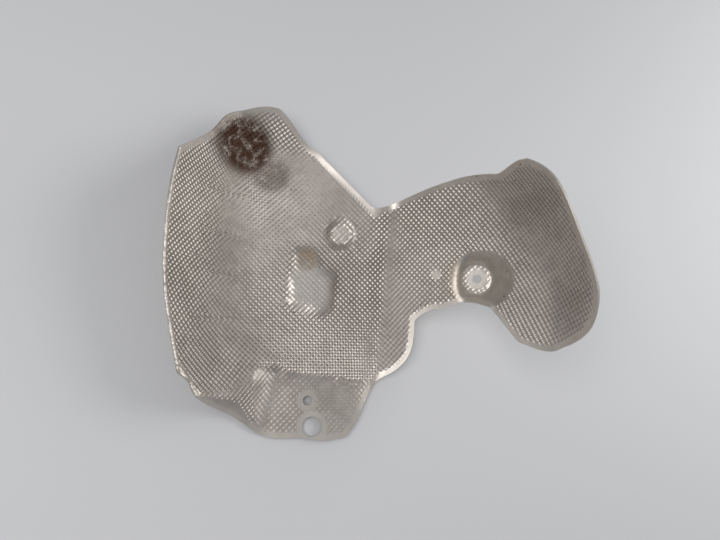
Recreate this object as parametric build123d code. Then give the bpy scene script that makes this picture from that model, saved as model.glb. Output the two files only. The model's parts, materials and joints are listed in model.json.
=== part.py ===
from build123d import *
import math
import os

# A heat shield pressed from one embossed aluminium sheet, in millimetres.
# The sheet is drawn along the press axis as a height over a plan, x to the right and y to the rear.
# It is a deep cradle: a panel with a rising wall on the left, a step down to a narrow arm, and a
# scoop that climbs to the right. A tab with two holes leaves the panel's front edge.

# Sheet, with its edge folded back once as a flat hem
sheet_thickness = 0.8
hem_width = 3.5
hem_layers = 2

# How far the edge reaches from the press axis: left wall, scoop, rear edge and foot of the tab
wall_reach = 123.0
scoop_reach = 148.0
rear_reach = 125.0
tab_reach = 124.0

# How the part lies when it is set down: turned about y, then about x
rest_roll = -20.8
rest_pitch = 12.9

# The panel's plane before any fold: height at the origin and slope along x and y
panel_height = 4.0
panel_slope_x = -0.315
panel_slope_y = -0.27

# Straight folds: distance of the fold line from the origin, heading square to the line in degrees,
# change of slope beyond it, and softness of the bend
folds = {
    "wall foot": (wall_reach - 19, 185.0, 1.33, 13.5),
    "wall upper": (wall_reach - 10.5, 174.0, 2.6, 7.3),
    "step edge": (11.0, -7.0, -0.42, 2.5),
    "step foot": (20.5, -7.0, 0.97, 3.0),
    "rolled edge": (33.0, 45.0, -0.22, 3.0),
    "rear hollow": (35.0, 45.0, 0.97, 20.0),
    "front rise": (94.6, -123.0, 0.81, 11.6),
    "rear flat": (rear_reach - 35, 87.0, 0.53, 4.9),
    "scoop start": (scoop_reach - 49, -10.0, 0.15, 3.0),
    "scoop rear": (scoop_reach - 31, 33.0, 2.6, 4.8),
    "scoop rim": (scoop_reach - 10, 2.5, 2.2, 4.0),
}

# Tab: the crease it bends at, its own flat plane, and the shoulder that climbs from its left side
tab_crease = (82.1, -100.6)
tab_crease_half_width = 2.0
tab_point = (-27.0, -77.0, 36.0)
tab_slope_x = -0.3
tab_slope_y = -0.2
tab_shoulder = (41.2, 164.0)
tab_shoulder_slope = 1.2
tab_shoulder_softness = 2.5

# Turned-down lip at the front left corner, inside a circle that crosses the edge
lip_centre = (-110.0, -113.0)
lip_radius = 33.0
lip_slope_change = -1.6
lip_softness = 1.5

# Bolt boss: a sunken flat seat with a sloping ring
bolt_boss_centre = (89.5, -7.0)
bolt_boss_seat_radius = 10.5
bolt_boss_outer_radius = 21.5
bolt_boss_depth = 10.0
bolt_hole_diameter = 7.0

# Blind round boss in the panel
round_boss_centre = (-15.7, 28.5)
round_boss_seat_radius = 7.5
round_boss_outer_radius = 13.0
round_boss_depth = 3.0

# Label pad, left bare: a flat raised patch that is flush at its right and rear
pad_outline = [
    (-50, 18), (-40, 18), (-33, 10), (-32, 1), (-19, -3),
    (-23, -32), (-28, -35), (-51, -28), (-56, -23), (-54, -3),
]
pad_rise = 1.2
pad_slope = 0.035
pad_heading = -150.0
pad_edge_softness = 2.0

# Draw wrinkles that run up the left wall, each from end to end
wrinkles = [
    ((-109.9, 59.2), (-82.9, 56.5)),
    ((-107.2, 29.3), (-89.6, 24.8)),
    ((-105.8, -2.1), (-91.2, -4.4)),
    ((-111.0, -31.4), (-88.6, -35.3)),
]
wrinkle_height = 0.9
wrinkle_half_width = 3.0

# Tab holes
tab_small_hole_centre = (-38.5, 28.5 - tab_reach)
tab_small_hole_diameter = 6.8
tab_large_hole_centre = (-35.0, 10 - tab_reach)
tab_large_hole_diameter = 14.5

# Edge of the sheet in plan, in matching front and rear runs from left to right
front_left = (10 - wall_reach, -63)
rear_left = (3.5 - wall_reach, 82.5)
tab_left = (-80, 15 - tab_reach)
tab_right = (-11, 1 - tab_reach)
rear_corner = (-93, rear_reach - 5.5)
rear_end = (-61, rear_reach - 2)
foot_left = (113.5, -51.5)
front_right = (scoop_reach - 8.5, -51.5)
lobe_end = (scoop_reach - 41, 72)
edge_runs = [
    # front left lip, rear left corner
    ([front_left, (17 - wall_reach, -74), (23 - wall_reach, -88), (31 - wall_reach, -98), tab_left],
     [rear_left, (8.5 - wall_reach, 90.5), (-105, rear_reach - 20),
      (-99.5, rear_reach - 10.5), rear_corner]),
    # foot of the tab, rear edge
    ([tab_left, (-71, 8 - tab_reach), (-59, 4 - tab_reach), (-42, 3 - tab_reach), (-29, -tab_reach),
      (-18, -tab_reach), tab_right],
     [rear_corner, (-82.5, rear_reach - 2), (-70, rear_reach), rear_end]),
    # right side of the tab, corner of the rolled edge
    ([tab_right, (-5.5, 7 - tab_reach), (2, -103), (9, -90)],
     [rear_end, (-55, rear_reach - 8), (-48.5, 108), (-33, 93)]),
    # front right corner of the panel, rolled edge
    ([(9, -90), (13, -85), (22.5, -80), (30.5, -74.5), (37.5, -66), (41, -54.5), (41, -47)],
     [(-33, 93), (-12, 72), (9, 51)]),
    # start of the hollow under the arm, notch
    ([(41, -47), (43, -39.5), (47, -35.5), (57.5, -30)],
     [(9, 51), (13.5, 50), (23.5, 52), (30, 54.5)]),
    # front and rear edges of the arm
    ([(57.5, -30), (66, -28.5), (75, -25), (87, -24), (95.5, -27.5)],
     [(30, 54.5), (43.5, 60), (61.5, 66), (70, 68)]),
    # side of the hollow, end of the arm's rear edge
    ([(95.5, -27.5), (102, -35.5), (108.5, -45), foot_left],
     [(70, 68), (78.5, 69.5), (scoop_reach - 52, 67.5)]),
    # foot of the scoop, lobe
    ([foot_left, (scoop_reach - 24.5, -55.5), (scoop_reach - 16, -56.5), front_right],
     [(scoop_reach - 52, 67.5), (scoop_reach - 47.5, 70), (scoop_reach - 43.5, 72.5), lobe_end]),
]
left_rim = [
    front_left, (5 - wall_reach, -41), (1 - wall_reach, -12), (-wall_reach, 19), (1 - wall_reach, 55),
    rear_left,
]
right_rim = [
    front_right, (scoop_reach - 2, -41), (scoop_reach, -28), (scoop_reach - 1, -13),
    (scoop_reach - 5.5, 4.5), (scoop_reach - 11.5, 21.5), (scoop_reach - 21, 44.5),
    (scoop_reach - 31, 62), lobe_end,
]
run_sections = [10, 10, 10, 18, 6, 12, 8, 7]
sections_across = 40
slope_probe = 0.05


def soft_ramp(distance, softness):
    """Zero before a line and the distance past it, rounded where it turns."""
    d = distance / softness
    return softness * (d if d > 30 else math.log1p(math.exp(d)))


def soft_step(distance, softness):
    return 0.5 + 0.5 * math.tanh(distance / softness)


def ease(share):
    share = min(1.0, max(0.0, share))
    return share * share * (3 - 2 * share)


def past(line, x, y):
    """How far a point lies past a line, along the line's heading."""
    offset, heading = line[0], math.radians(line[1])
    return x * math.cos(heading) + y * math.sin(heading) - offset


def tab_surface(x, y):
    """The tab's plane, with the shoulder climbing past its left side."""
    px, py, pz = tab_point
    plane = pz + tab_slope_x * (x - px) + tab_slope_y * (y - py)
    return plane + tab_shoulder_slope * soft_ramp(past(tab_shoulder, x, y), tab_shoulder_softness)


def folded(x, y):
    """Height of the sheet with its folds, tab and lip, before bosses, pad and wrinkles."""
    z = panel_height + panel_slope_x * x + panel_slope_y * y
    for offset, heading, slope_change, softness in folds.values():
        z += slope_change * soft_ramp(past((offset, heading), x, y), softness)
    beyond = past(tab_crease, x, y)
    gate = ease(0.5 + beyond / (2 * tab_crease_half_width))
    z -= gate * soft_ramp(z - tab_surface(x, y), tab_shoulder_softness)
    lip_reach = lip_radius - math.dist((x, y), lip_centre)
    return z + lip_slope_change * soft_ramp(lip_reach, lip_softness)


def depth_in_outline(x, y, outline):
    """Distance inside a closed outline, negative outside."""
    nearest, inside = math.inf, False
    for (x1, y1), (x2, y2) in zip(outline, outline[1:] + outline[:1]):
        dx, dy = x2 - x1, y2 - y1
        share = ((x - x1) * dx + (y - y1) * dy) / (dx * dx + dy * dy)
        share = min(1.0, max(0.0, share))
        nearest = min(nearest, math.dist((x, y), (x1 + share * dx, y1 + share * dy)))
        if (y1 > y) != (y2 > y) and x < x1 + (y - y1) / dy * dx:
            inside = not inside
    return nearest if inside else -nearest


def wrinkle(x, y, start, end):
    dx, dy = end[0] - start[0], end[1] - start[1]
    length = math.hypot(dx, dy)
    along = ((x - start[0]) * dx + (y - start[1]) * dy) / length
    across = ((x - start[0]) * dy - (y - start[1]) * dx) / length
    fade = ease(along / wrinkle_half_width / 2) * ease((length - along) / wrinkle_half_width / 2)
    return wrinkle_height * fade * math.exp(-((across / wrinkle_half_width) ** 2))


def sink(z, x, y, centre, depth, seat_radius, outer_radius):
    """Blends the sheet down to a flat seat."""
    reach = (outer_radius - math.dist((x, y), centre)) / (outer_radius - seat_radius)
    return z + (folded(*centre) - depth - z) * ease(reach)


def height(x, y):
    z = folded(x, y)
    for start, end in wrinkles:
        z += wrinkle(x, y, start, end)
    pad_lift = max(0.0, pad_rise + pad_slope * past((0, pad_heading), x, y))
    z += pad_lift * soft_step(depth_in_outline(x, y, pad_outline), pad_edge_softness)
    z = sink(z, x, y, round_boss_centre, round_boss_depth, round_boss_seat_radius, round_boss_outer_radius)
    return sink(z, x, y, bolt_boss_centre, bolt_boss_depth, bolt_boss_seat_radius, bolt_boss_outer_radius)


def normal(x, y):
    step = slope_probe
    slope_x = (height(x + step, y) - height(x - step, y)) / (2 * step)
    slope_y = (height(x, y + step) - height(x, y - step)) / (2 * step)
    return Vector(-slope_x, -slope_y, 1).normalized()


def on_sheet(p, depth):
    """The point at a depth below the outer face, square to the sheet."""
    return Vector(p.X, p.Y, height(p.X, p.Y)) - normal(p.X, p.Y) * depth


def spaced(points, count):
    """Evenly spaced points on a smooth line through the given ones."""
    line = Spline(*points)
    return [line.position_at(i / count, PositionMode.PARAMETER) for i in range(count + 1)]


def joined(side):
    """One long edge of the sheet, front or rear, as a row of points."""
    row = [Vector(*edge_runs[0][side][0])]
    for run, count in zip(edge_runs, run_sections):
        row += spaced(run[side], count)[1:]
    return row


def inset(edge, inner):
    """A plan point one hem width in from the edge, measured along the sheet towards the inner point."""
    span = (on_sheet(inner, 0) - on_sheet(edge, 0)).length
    return edge + (inner - edge) * (hem_width / span)


def between(points, share):
    """The point at a share of the way along evenly counted points."""
    place = share * (len(points) - 1)
    i = min(int(place), len(points) - 2)
    return points[i] + (points[i + 1] - points[i]) * (place - i)


def with_hem_rows(column):
    """A column's points spread again so that the first and last gaps are one hem width."""
    near, far = inset(column[0], column[2]), inset(column[-1], column[-3])
    low = (near - column[0]).length / (column[2] - column[0]).length * 2 / sections_across
    high = 1 - (far - column[-1]).length / (column[-3] - column[-1]).length * 2 / sections_across
    steps = sections_across - 2
    inner = [between(column, low + (high - low) * j / steps) for j in range(steps + 1)]
    return [column[0], *inner, column[-1]]


def plan_columns():
    """Plan points that fill the edge of the sheet, in columns from front to rear."""
    front, rear = joined(0), joined(1)
    left, right = spaced(left_rim, sections_across), spaced(right_rim, sections_across)
    columns = []
    for i, (low, high) in enumerate(zip(front, rear)):
        u = i / (len(front) - 1)
        column = []
        for j in range(sections_across + 1):
            v = j / sections_across
            left_bulge = left[j] - left[0] * (1 - v) - left[-1] * v
            right_bulge = right[j] - right[0] * (1 - v) - right[-1] * v
            column.append(low * (1 - v) + high * v + left_bulge * (1 - u) + right_bulge * u)
        columns.append(with_hem_rows(column))
    columns[1] = [inset(p, q) for p, q in zip(columns[0], columns[2])]
    columns[-2] = [inset(p, q) for p, q in zip(columns[-1], columns[-3])]
    return columns


def skin(columns, edge_depth, depth):
    """A smooth face through columns of plan points, at one depth in the hem and another inside it."""
    share = [j / sections_across for j in range(sections_across + 1)]
    sections = []
    for i, column in enumerate(columns):
        hem_column = i < 2 or i > len(columns) - 3
        points = []
        for j, p in enumerate(column):
            in_hem = hem_column or j < 2 or j > sections_across - 2
            points.append(on_sheet(p, edge_depth if in_hem else depth))
        sections.append(Wire([Edge.make_spline(points, parameters=share)]))
    return Shell.make_loft(sections).faces()[0]


def pressed_sheet():
    columns = plan_columns()
    outer = skin(columns, 0, 0)
    under = skin(columns, hem_layers * sheet_thickness, sheet_thickness)
    walls = []
    for edge in outer.edges():
        mate = min(under.edges(), key=lambda e: (e.center() - edge.center()).length)
        walls.append(Face.make_surface_from_curves(edge, mate))
    return Solid(Shell([outer, under, *walls]))


def drill(centre, diameter):
    """A cutter square to the sheet at a point of the plan."""
    x, y = centre
    place = Plane(origin=(x, y, height(x, y)), z_dir=normal(x, y))
    return place * Cylinder(diameter / 2, 8 * sheet_thickness)


def main():
    sheet = pressed_sheet()
    sheet -= drill(bolt_boss_centre, bolt_hole_diameter)
    sheet -= drill(tab_small_hole_centre, tab_small_hole_diameter)
    sheet -= drill(tab_large_hole_centre, tab_large_hole_diameter)
    sheet = Rot(rest_pitch, 0, 0) * Rot(0, rest_roll, 0) * sheet
    box = sheet.bounding_box()
    sheet = Pos(-box.center().X, -box.center().Y, -box.min.Z) * sheet
    os.makedirs("parts", exist_ok=True)
    export_step(sheet, "parts/heat_shield.step")


main()
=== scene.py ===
import json
import math
import bmesh
import bpy
from mathutils import Euler, Matrix, Vector
from mathutils.bvhtree import BVHTree
from mathutils.geometry import barycentric_transform, delaunay_2d_cdt


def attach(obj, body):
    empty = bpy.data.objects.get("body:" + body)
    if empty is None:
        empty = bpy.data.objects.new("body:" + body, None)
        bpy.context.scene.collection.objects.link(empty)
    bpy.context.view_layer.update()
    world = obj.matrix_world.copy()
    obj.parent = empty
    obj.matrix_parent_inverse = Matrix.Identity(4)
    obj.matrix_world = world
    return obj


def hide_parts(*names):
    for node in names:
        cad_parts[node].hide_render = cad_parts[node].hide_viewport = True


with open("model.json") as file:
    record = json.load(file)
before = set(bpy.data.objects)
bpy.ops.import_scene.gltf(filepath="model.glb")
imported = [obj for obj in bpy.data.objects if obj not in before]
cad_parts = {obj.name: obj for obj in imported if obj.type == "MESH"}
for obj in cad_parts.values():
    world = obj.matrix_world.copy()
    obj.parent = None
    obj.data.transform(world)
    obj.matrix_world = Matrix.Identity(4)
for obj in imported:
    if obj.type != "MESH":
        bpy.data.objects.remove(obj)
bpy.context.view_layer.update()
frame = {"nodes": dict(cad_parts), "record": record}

# Lengths are in millimetres in the press frame, x to the right, y to the rear and z up out of the hollow.
# The part lies tilted, so the frame is placed by the tilt and by the bolt hole.
press = {"roll": -20.8, "pitch": 12.9, "boltHole": (89.5, -7.0, 23.7), "unit": 0.001}

dimples = {
    "pitch": 3.1, "height": 0.16, "relief": 0.34, "edgeMargin": 3.2, "edgeFade": 2.2,
    "pointsAcross": 3, "edgeClear": 0.55, "pointGap": 1e-4, "faceGap": 1e-3, "joinGap": 1e-6,
}

# How the hollow side is found in the plain mesh and laid flat
search = {
    "panel": (-40, 0), "panelHalf": (45, 60), "above": 500.0, "bend": 0.7, "facing": 0.02,
    "sliver": 0.004, "gapRounds": 6, "unwrapRounds": 150, "merge": 0.002, "degenerate": 0.0005,
}

# Places where the dimples are pressed flat: centre, radius, fade and what is left of their height
flatRounds = [
    {"centre": (89.5, -7.0), "inner": 10.5, "outer": 21.5, "fade": 2.0, "left": 0.06},
    {"centre": (89.5, -7.0), "inner": 0.0, "outer": 10.5, "fade": 1.5, "left": 0.35},
    {"centre": (-15.7, 28.5), "inner": 7.5, "outer": 12.5, "fade": 1.2, "left": 0.35},
]
pad = {
    "outline": [(-50, 18), (-40, 18), (-33, 10), (-32, 1), (-19, -3),
                (-23, -32), (-28, -35), (-51, -28), (-56, -23), (-54, -3)],
    "fade": 1.6, "left": 0.3,
}
tab = {"offset": 82.1, "heading": -100.6, "fade": 3.0, "left": 0.22, "shoulder": -75.0}
lip = {"centre": (-110.0, -113.0), "radius": 33.0, "fade": 2.0, "left": 0.2}
rearBand = {"start": 112.0, "fade": 4.0, "left": 0.45}

# Draw wrinkles up the left wall, each from end to end
wrinkles = {
    "lines": [((-113, 60), (-84, 56.5)), ((-112, 30), (-88, 24.5)), ((-113, 43), (-104, 40)),
              ((-110, -1), (-90, -4.5)), ((-114, -31), (-87, -35)), ((-116, 12), (-106, 9))],
    "height": 1.1, "halfWidth": 1.5, "fade": 5.0, "reach": 4,
}

# Stains, and painted highlights, in the plan: centre, half widths and strength, full in the core and then
# fading
markCore, markFade = 0.6, 0.6
burnt = [
    {"centre": (-88.0, 96.0), "half": (21.0, 25.0), "strength": 1.0},
    {"centre": (-70.0, 75.0), "half": (16.0, 15.0), "strength": 0.55},
]
tanMarks = [
    {"centre": (-41.0, 9.0), "half": (8.0, 10.0), "strength": 0.8},
    {"centre": (72.0, -7.0), "half": (10.0, 16.0), "strength": 0.35},
]
# Painted highlights: the flat bolt boss, the label pad and the small boss are painted lighter where light
# falls on them
paintedHighlights = [
    {"centre": (89.5, -7.0), "half": (11.0, 11.0), "strength": 1.0},
    {"centre": (-39.0, -14.0), "half": (17.0, 20.0), "strength": 0.95},
    {"centre": (-15.7, 28.5), "half": (8.0, 8.0), "strength": 0.7},
]


def pressMatrix():
    turn = Euler((math.radians(press["pitch"]), 0, 0)).to_matrix()
    turn = turn @ Euler((0, math.radians(press["roll"]), 0)).to_matrix()
    bolt = next(m for m in frame["record"]["mounts"] if m["name"] == "bolt_hole")
    shift = Vector(bolt["pos_m"]) - turn @ Vector(press["boltHole"]) * press["unit"]
    return Matrix.Translation(shift) @ turn.to_4x4() @ Matrix.Scale(press["unit"], 4)


toRest = pressMatrix()
toPress = toRest.inverted()


def clamp(value):
    return min(1.0, max(0.0, value))


def ease(value):
    value = clamp(value)
    return value * value * (3 - 2 * value)


def cadMesh():
    mesh = bmesh.new()
    mesh.from_mesh(frame["nodes"]["heat_shield"].data)
    bmesh.ops.transform(mesh, matrix=toPress, verts=mesh.verts)
    bmesh.ops.remove_doubles(mesh, verts=mesh.verts, dist=search["merge"])
    bmesh.ops.dissolve_degenerate(mesh, edges=mesh.edges, dist=search["degenerate"])
    bmesh.ops.triangulate(mesh, faces=mesh.faces)
    mesh.normal_update()
    return mesh


# The hollow side's faces, found by spreading over the mesh without turning a sharp edge
def outerFaces(mesh, start):
    bend, sliver = search["bend"], search["sliver"]
    tree = BVHTree.FromBMesh(mesh)
    mesh.faces.ensure_lookup_table()
    hit = tree.ray_cast(Vector((*start, search["above"])), Vector((0, 0, -1)))
    found, waiting = set(), [mesh.faces[hit[2]]]
    while waiting:
        face = waiting.pop()
        if face in found:
            continue
        found.add(face)
        for edge in face.edges:
            for other in edge.link_faces:
                smooth = face.normal.angle(other.normal, math.pi) < bend and other.normal.z > search["facing"]
                if other not in found and smooth and other.calc_area() > sliver:
                    waiting.append(other)
    gaps = [face for face in mesh.faces if face not in found and face.calc_area() <= sliver]
    for _ in range(search["gapRounds"]):
        for face in gaps:
            others = [other for edge in face.edges for other in edge.link_faces if other is not face]
            if sum(other in found for other in others) > 1:
                found.add(face)
    return [face for face in mesh.faces if face in found]


# Unwraps the outer faces, then scales and turns the result to lie over the plan
def flatten(faces):
    skin = bpy.data.meshes.new("skinFlat")
    order = {}
    for face in faces:
        for vert in face.verts:
            order.setdefault(vert, len(order))
    corners = [[order[v] for v in face.verts] for face in faces]
    skin.from_pydata([v.co.copy() for v in order], [], corners)
    holder = bpy.data.objects.new("skinFlat", skin)
    bpy.context.scene.collection.objects.link(holder)
    bpy.context.view_layer.objects.active = holder
    holder.select_set(True)
    bpy.ops.object.mode_set(mode="EDIT")
    bpy.ops.mesh.select_all(action="SELECT")
    bpy.ops.uv.unwrap(method="MINIMUM_STRETCH", fill_holes=True, iterations=search["unwrapRounds"])
    bpy.ops.object.mode_set(mode="OBJECT")
    layer = skin.uv_layers.active.data
    flat = [None] * len(order)
    for loop in skin.loops:
        flat[loop.vertex_index] = layer[loop.index].uv.copy()
    solid = [v.co.copy() for v in skin.vertices]
    pairs = [tuple(edge.vertices) for edge in skin.edges]
    bpy.data.objects.remove(holder)
    bpy.data.meshes.remove(skin)
    flatLength = sum((flat[a] - flat[b]).length for a, b in pairs)
    scale = sum((solid[a] - solid[b]).length for a, b in pairs) / flatLength
    (panelX, panelY), (halfX, halfY) = search["panel"], search["panelHalf"]
    panel = [i for i, p in enumerate(solid) if abs(p.x - panelX) < halfX and abs(p.y - panelY) < halfY]
    middle = sum((flat[i] for i in panel), Vector((0, 0))) / len(panel)
    centre = sum((solid[i].xy for i in panel), Vector((0, 0))) / len(panel)
    best = None
    for flip in (1, -1):
        cosine = sine = 0.0
        for i in panel:
            a, b = flat[i] - middle, solid[i].xy - centre
            a.x *= flip
            cosine += a.dot(b)
            sine += a.x * b.y - a.y * b.x
        if best is None or math.hypot(cosine, sine) > best[0]:
            best = (math.hypot(cosine, sine), flip, math.atan2(sine, cosine))
    placed = []
    for p in flat:
        q = (p - middle) * scale
        q.x *= best[1]
        c, s = math.cos(best[2]), math.sin(best[2])
        placed.append(Vector((q.x * c - q.y * s, q.x * s + q.y * c)) + centre)
    return solid, placed, corners


# Directed edges that have a face on one side only
def borderEdges(corners):
    used = {}
    for corner in corners:
        for edge in zip(corner, corner[1:] + corner[:1]):
            used[edge] = True
    return [(a, b) for a, b in used if (b, a) not in used]


# Points on the dimple lattice inside the flat sheet, with its border, carried back to the pressed form
def dimpledGrid(solid, flat, corners):
    border = borderEdges(corners)
    borderVerts = sorted({v for edge in border for v in edge})
    position = {v: i for i, v in enumerate(borderVerts)}
    points = [flat[v].copy() for v in borderVerts]
    onSheet = [solid[v].copy() for v in borderVerts]
    tree = BVHTree.FromPolygons([Vector((*p, 0)) for p in flat], corners)
    step = dimples["pitch"] / dimples["pointsAcross"]
    lowX, highX = min(p.x for p in flat), max(p.x for p in flat)
    lowY, highY = min(p.y for p in flat), max(p.y for p in flat)
    edgeTree = BVHTree.FromPolygons([Vector((*p, 0)) for p in points],
                                    [(position[a], position[b], position[b]) for a, b in border])
    reach = math.ceil(math.hypot(max(-lowX, highX), max(-lowY, highY)) / step)
    for i in range(-reach, reach + 1):
        for j in range(-reach, reach + 1):
            spot = Vector((i - j, i + j, 0)) * step / math.sqrt(2)
            if not (lowX < spot.x < highX and lowY < spot.y < highY):
                continue
            _, _, index, gap = tree.find_nearest(spot)
            besideEdge = edgeTree.find_nearest(spot, step * dimples["edgeClear"])[0] is not None
            if gap > dimples["pointGap"] or besideEdge:
                continue
            a, b, c = corners[index]
            flatCorners = [Vector((*flat[k], 0)) for k in (a, b, c)]
            onSheet.append(barycentric_transform(spot, *flatCorners, solid[a], solid[b], solid[c]))
            points.append(spot.xy)
    edges = [(position[a], position[b]) for a, b in border]
    made = delaunay_2d_cdt(points, edges, [], 0, dimples["joinGap"])
    faces, sources = made[2], made[3]
    source = [s[0] if s else None for s in sources]
    kept = []
    for face in faces:
        middle = sum((made[0][k] for k in face), Vector((0, 0))) / len(face)
        corner = [source[k] for k in face]
        if tree.find_nearest(Vector((*middle, 0)))[3] < dimples["faceGap"] and None not in corner:
            kept.append(corner)
    print("grid", len(points), "points", len(kept), "faces")
    return onSheet, points, kept, edgeTree


def insideDepth(x, y, outline):
    nearest, inside = math.inf, False
    for (x1, y1), (x2, y2) in zip(outline, outline[1:] + outline[:1]):
        dx, dy = x2 - x1, y2 - y1
        share = clamp(((x - x1) * dx + (y - y1) * dy) / (dx * dx + dy * dy))
        nearest = min(nearest, math.dist((x, y), (x1 + share * dx, y1 + share * dy)))
        if (y1 > y) != (y2 > y) and x < x1 + (y - y1) / dy * dx:
            inside = not inside
    return nearest if inside else -nearest


# How much of the dimples' height is left at a point of the pressed sheet
def dimpleShare(p, edgeGap):
    share = ease((edgeGap - dimples["edgeMargin"]) / dimples["edgeFade"])
    for ring in flatRounds:
        away = math.dist(p.xy, ring["centre"])
        inOuter = ease(0.5 + (ring["outer"] - away) / ring["fade"])
        within = min(inOuter, ease(0.5 + (away - ring["inner"]) / ring["fade"]))
        share *= 1 - within * (1 - ring["left"])
    share *= 1 - (1 - pad["left"]) * ease(0.5 + insideDepth(p.x, p.y, pad["outline"]) / pad["fade"])
    heading = math.radians(tab["heading"])
    beyond = p.x * math.cos(heading) + p.y * math.sin(heading) - tab["offset"]
    if p.x > tab["shoulder"]:
        share *= 1 - (1 - tab["left"]) * ease(0.5 + beyond / tab["fade"])
    inLip = lip["radius"] - math.dist(p.xy, lip["centre"])
    share *= 1 - (1 - lip["left"]) * ease(0.5 + inLip / lip["fade"])
    share *= 1 - (1 - rearBand["left"]) * ease((p.y - rearBand["start"]) / rearBand["fade"])
    return share


# A ridge with a groove beside it along each wrinkle
def wrinkleLift(p):
    lift = 0.0
    for start, end in wrinkles["lines"]:
        run = Vector(end) - Vector(start)
        away = p.xy - Vector(start)
        along = away.dot(run) / run.length
        across = (away.x * run.y - away.y * run.x) / run.length / wrinkles["halfWidth"]
        if abs(across) < wrinkles["reach"]:
            ends = ease(along / wrinkles["fade"]) * ease((run.length - along) / wrinkles["fade"])
            lift += wrinkles["height"] * ends * across * math.exp(-across * across)
    return lift


def markStrength(p, marks):
    total = 0.0
    for mark in marks:
        dx = (p.x - mark["centre"][0]) / mark["half"][0]
        dy = (p.y - mark["centre"][1]) / mark["half"][1]
        total = max(total, mark["strength"] * (1 - ease((math.hypot(dx, dy) - markCore) / markFade)))
    return total


# The dimpled outer face with the plain back and edges of the sheet
def sheetMesh():
    cad = cadMesh()
    outer = outerFaces(cad, search["panel"])
    print("outer faces", len(outer), "of", len(cad.faces))
    solid, flat, corners = flatten(outer)
    onSheet, points, faces, edgeTree = dimpledGrid(solid, flat, corners)
    front = set(outer)
    backFaces = [face for face in cad.faces if face not in front]
    backOrder = {}
    for face in backFaces:
        for vert in face.verts:
            backOrder.setdefault(vert, len(onSheet) + len(backOrder))
    places = onSheet + [v.co.copy() for v in backOrder]
    allFaces = faces + [[backOrder[v] for v in face.verts] for face in backFaces]
    mesh = bpy.data.meshes.new("shieldSheet")
    mesh.from_pydata(places, [], allFaces)
    values = {"share": [], "hem": [], "lift": [], "burnt": [], "tan": [], "paintedHighlight": []}
    flatPlaces = []
    for i, p in enumerate(places):
        values["burnt"].append(markStrength(p, burnt))
        values["tan"].append(markStrength(p, tanMarks))
        # Painted highlight mask at the flat bosses and the label pad
        values["paintedHighlight"].append(markStrength(p, paintedHighlights))
        spot = Vector((*points[i], 0)) if i < len(points) else Vector((0, 0, 0))
        gap = edgeTree.find_nearest(spot)[3] if i < len(points) else 0.0
        values["share"].append(dimpleShare(p, gap))
        # Hem band at the sheet's edge, which carries the painted highlight along the hem
        values["hem"].append(1 - ease((gap - dimples["edgeMargin"]) / dimples["edgeFade"]))
        values["lift"].append(wrinkleLift(p) if i < len(points) else 0.0)
        flatPlaces.extend(spot)
    for name, numbers in values.items():
        mesh.attributes.new(name, "FLOAT", "POINT").data.foreach_set("value", numbers)
    mesh.attributes.new("flat", "FLOAT_VECTOR", "POINT").data.foreach_set("vector", flatPlaces)
    planPlaces = [number for p in places for number in p]
    mesh.attributes.new("plan", "FLOAT_VECTOR", "POINT").data.foreach_set("vector", planPlaces)
    cad.free()
    return mesh


# A node socket with arithmetic
class Sock:
    def __init__(self, tree, socket):
        self.tree, self.socket = tree, socket

    def node(self, kind, inputs=(), output=0, **settings):
        made = self.tree.nodes.new(kind)
        for name, value in settings.items():
            setattr(made, name, value)
        for key, value in dict(inputs).items():
            if isinstance(value, Sock):
                self.tree.links.new(value.socket, made.inputs[key])
            else:
                made.inputs[key].default_value = value
        return Sock(self.tree, made.outputs[output])

    def math(self, operation, other=0.0):
        return self.node("ShaderNodeMath", {0: self, 1: other}, operation=operation)

    def __add__(self, other):
        return self.math("ADD", other)

    def __sub__(self, other):
        return self.math("SUBTRACT", other)

    def __rsub__(self, other):
        return self.node("ShaderNodeMath", {0: other, 1: self}, operation="SUBTRACT")

    def __mul__(self, other):
        return self.math("MULTIPLY", other)

    __radd__ = __add__
    __rmul__ = __mul__

    def band(self, low, high):
        return self.node("ShaderNodeMapRange", {"Value": self, "From Min": low, "From Max": high},
                         interpolation_type="SMOOTHSTEP")

    # From the first colour to the second as this value goes from 0 to 1
    def mix(self, first, second):
        return self.node("ShaderNodeMix", {0: self, 6: first, 7: second}, output=2, data_type="RGBA")


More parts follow.
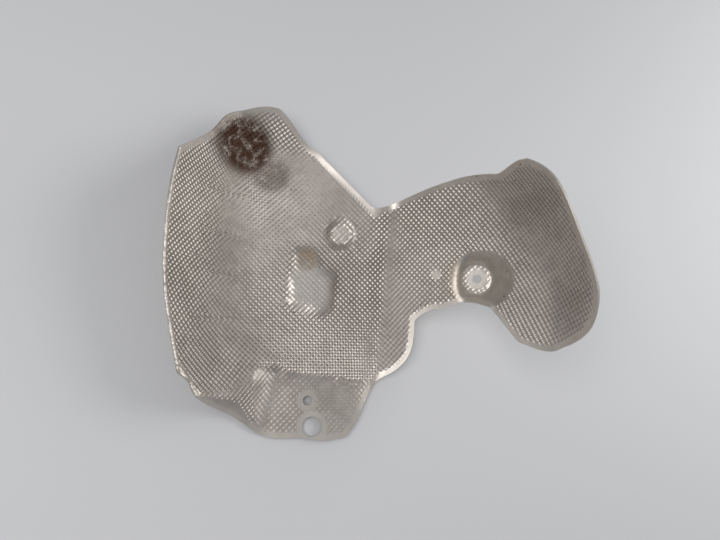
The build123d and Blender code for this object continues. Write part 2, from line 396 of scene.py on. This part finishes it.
# Raises the dimples along the sheet's normal, on a square lattice at 45 degrees to x
def dimpleTree(material):
    tree = bpy.data.node_groups.new("dimples", "GeometryNodeTree")
    tree.interface.new_socket("Geometry", in_out="INPUT", socket_type="NodeSocketGeometry")
    pitch = tree.interface.new_socket("Pitch", in_out="INPUT", socket_type="NodeSocketFloat")
    height = tree.interface.new_socket("Height", in_out="INPUT", socket_type="NodeSocketFloat")
    tree.interface.new_socket("Geometry", in_out="OUTPUT", socket_type="NodeSocketGeometry")
    start = tree.nodes.new("NodeGroupInput")
    end = tree.nodes.new("NodeGroupOutput")
    base = Sock(tree, start.outputs["Geometry"])
    wave = Sock(tree, start.outputs["Pitch"]).math("DIVIDE", math.sqrt(2) * math.pi).math("POWER", -1.0)
    flat = base.node("GeometryNodeInputNamedAttribute", {"Name": "flat"}, data_type="FLOAT_VECTOR")
    share = base.node("GeometryNodeInputNamedAttribute", {"Name": "share"}, data_type="FLOAT")
    across = base.node("ShaderNodeSeparateXYZ", {0: flat}, output=0)
    along = base.node("ShaderNodeSeparateXYZ", {0: flat}, output=1)
    bump = (across * wave).math("COSINE") * (along * wave).math("COSINE")
    fold = base.node("GeometryNodeInputNamedAttribute", {"Name": "lift"}, data_type="FLOAT")
    lift = bump * share * Sock(tree, start.outputs["Height"]) + fold
    normal = base.node("GeometryNodeInputNormal")
    offset = base.node("ShaderNodeVectorMath", {0: normal, "Scale": lift}, operation="SCALE")
    raised = base.node("GeometryNodeSetPosition", {"Geometry": base, "Offset": offset})
    real = base.node("GeometryNodeRealizeInstances", {"Geometry": raised})
    painted = base.node("GeometryNodeSetMaterial", {"Geometry": real, "Material": material})
    tree.links.new(painted.socket, end.inputs[0])
    return tree, pitch.identifier, height.identifier


# The bright colour is a painted highlight, used at the flat bosses, the label pad and along the hem
metal = {
    "light": (0.46, 0.42, 0.38, 1), "dark": (0.37, 0.335, 0.3, 1), "paintedHighlight": (0.72, 0.67, 0.61, 1),
    "tan": (0.42, 0.32, 0.23, 1), "burnt": (0.055, 0.024, 0.012, 1), "speck": (0.01, 0.008, 0.007, 1),
    "metallic": 0.7, "rough": 0.32, "roughSpread": 0.14, "hemPaintedHighlight": 0.3,
    "paintedHighlightShare": 0.8, "burntRough": 0.25, "paintedHighlightRough": 0.02,
    "grain": 0.12, "grainDepth": 0.0004, "sharpAngle": 55, "coarseShare": 0.6,
    "shadeBand": (0.38, 0.62), "tanBand": (0.3, 0.6), "burntBand": (0.32, 0.52), "speckBand": (0.735, 0.76),
}
# Noise over the plan: how many waves to a millimetre, and detail
noises = {"broad": (0.035, 4.0), "blotch": (0.16, 5.0), "fine": (1.6, 3.0), "specks": (0.45, 2.0)}


def sheetMaterial():
    material = bpy.data.materials.new("embossedAluminium")
    material.use_nodes = True
    tree = material.node_tree
    shader = tree.nodes["Principled BSDF"]
    base = Sock(tree, None)
    place = base.node("ShaderNodeAttribute", output="Vector", attribute_name="plan")
    value = {name: base.node("ShaderNodeAttribute", output="Fac", attribute_name=name)
             for name in ("hem", "burnt", "tan", "paintedHighlight")}
    noise = {name: base.node("ShaderNodeTexNoise", {"Vector": place, "Scale": scale, "Detail": detail})
             for name, (scale, detail) in noises.items()}
    blotch, fine = noise["blotch"], noise["fine"]
    coarse, rest = metal["coarseShare"], 1 - metal["coarseShare"]
    shade = (noise["broad"] * coarse + blotch * rest).band(*metal["shadeBand"])
    colour = shade.mix(metal["dark"], metal["light"])
    # Painted highlight: the flat bosses and the label pad are mixed towards the bright colour
    colour = (value["paintedHighlight"] * metal["paintedHighlightShare"]).mix(colour, metal["paintedHighlight"])
    # Painted highlight along the hem: the edge band is mixed towards the bright colour
    colour = (value["hem"] * metal["hemPaintedHighlight"]).mix(colour, metal["paintedHighlight"])
    colour = (value["tan"] * blotch.band(*metal["tanBand"])).mix(colour, metal["tan"])
    scorch = (blotch * coarse + fine * rest).band(*metal["burntBand"])
    colour = (value["burnt"] * scorch).mix(colour, metal["burnt"])
    colour = noise["specks"].band(*metal["speckBand"]).mix(colour, metal["speck"])
    tree.links.new(colour.socket, shader.inputs["Base Color"])
    rough = fine * metal["roughSpread"] + value["burnt"] * metal["burntRough"]
    rough = rough - value["paintedHighlight"] * metal["paintedHighlightRough"] + metal["rough"]
    tree.links.new(rough.socket, shader.inputs["Roughness"])
    shader.inputs["Metallic"].default_value = metal["metallic"]
    grain = base.node("ShaderNodeBump", {"Height": fine, "Strength": metal["grain"],
                                         "Distance": metal["grainDepth"]})
    flat = base.node("ShaderNodeAttribute", output="Vector", attribute_name="flat")
    share = base.node("ShaderNodeAttribute", output="Fac", attribute_name="share")
    wave = math.sqrt(2) * math.pi / dimples["pitch"]
    across = base.node("ShaderNodeSeparateXYZ", {0: flat}, output=0) * wave
    along = base.node("ShaderNodeSeparateXYZ", {0: flat}, output=1) * wave
    bump = across.math("COSINE") * along.math("COSINE") * share
    relief = base.node("ShaderNodeBump", {"Height": bump, "Strength": 1.0, "Normal": grain,
                                          "Distance": dimples["relief"] * press["unit"]})
    tree.links.new(relief.socket, shader.inputs["Normal"])
    return material


def buildShield():
    mesh = sheetMesh()
    material = sheetMaterial()
    holder = bpy.data.objects.new("shieldHolder", mesh)
    bpy.context.scene.collection.objects.link(holder)
    tree, pitch, height = dimpleTree(material)
    modifier = holder.modifiers.new("dimples", "NODES")
    modifier.node_group = tree
    modifier[pitch] = dimples["pitch"]
    modifier[height] = dimples["height"]
    graph = bpy.context.evaluated_depsgraph_get()
    raised = holder.evaluated_get(graph)
    made = bpy.data.meshes.new_from_object(raised, preserve_all_data_layers=True, depsgraph=graph)
    bpy.data.objects.remove(holder)
    work = bmesh.new()
    work.from_mesh(made)
    bmesh.ops.remove_doubles(work, verts=work.verts, dist=search["merge"])
    bmesh.ops.transform(work, matrix=toRest, verts=work.verts)
    bmesh.ops.recalc_face_normals(work, faces=work.faces)
    work.to_mesh(made)
    work.free()
    made.validate()
    made.shade_smooth()
    made.set_sharp_from_angle(angle=math.radians(metal["sharpAngle"]))
    shield = bpy.data.objects.new("shieldSheet", made)
    bpy.context.scene.collection.objects.link(shield)
    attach(shield, "root")
    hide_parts("heat_shield")
    print("shield", len(made.polygons), "faces")


stage = {
    "floor": 6.0, "floorColour": (0.54, 0.54, 0.55, 1), "floorRough": 0.6,
    "worldColour": (0.95, 0.97, 1.0, 1), "worldStrength": 0.32,
    "lamps": [
        {"name": "key", "place": (-0.5, -0.05, 0.85), "size": 0.6, "power": 5.0},
        {"name": "fill", "place": (1.1, 0.15, 0.7), "size": 1.0, "power": 10.0},
    ],
    "cameraFar": 453.0, "lens": 28.0, "clipStart": 0.01,
}


def buildStage():
    scene = bpy.context.scene
    scene.view_settings.view_transform = "Standard"
    half = stage["floor"] / 2
    floorMesh = bpy.data.meshes.new("floor")
    corners = [(-half, -half, 0), (half, -half, 0), (half, half, 0), (-half, half, 0)]
    floorMesh.from_pydata(corners, [], [(0, 1, 2, 3)])
    floor = bpy.data.objects.new("floor", floorMesh)
    scene.collection.objects.link(floor)
    paint = bpy.data.materials.new("floor")
    paint.use_nodes = True
    surface = paint.node_tree.nodes["Principled BSDF"]
    surface.inputs["Base Color"].default_value = stage["floorColour"]
    surface.inputs["Roughness"].default_value = stage["floorRough"]
    floorMesh.materials.append(paint)
    world = bpy.data.worlds.new("room")
    world.use_nodes = True
    sky = world.node_tree.nodes["Background"]
    sky.inputs["Color"].default_value = stage["worldColour"]
    sky.inputs["Strength"].default_value = stage["worldStrength"]
    scene.world = world
    for one in stage["lamps"]:
        lamp = bpy.data.lights.new(one["name"], "AREA")
        lamp.shape = "DISK"
        lamp.size = one["size"]
        lamp.energy = one["power"]
        holder = bpy.data.objects.new(one["name"], lamp)
        holder.location = Vector(one["place"])
        holder.rotation_euler = (-holder.location).to_track_quat("-Z", "Y").to_euler()
        scene.collection.objects.link(holder)
    lensData = bpy.data.cameras.new("camera")
    lensData.lens = stage["lens"]
    camera = bpy.data.objects.new("camera", lensData)
    scene.collection.objects.link(camera)
    turn = toRest.to_3x3().normalized()
    camera.location = toRest @ Vector((0, 0, stage["cameraFar"]))
    camera.rotation_euler = turn.to_euler()
    lensData.clip_start = stage["clipStart"]
    scene.camera = camera
    print("stage ready")


buildShield()
buildStage()
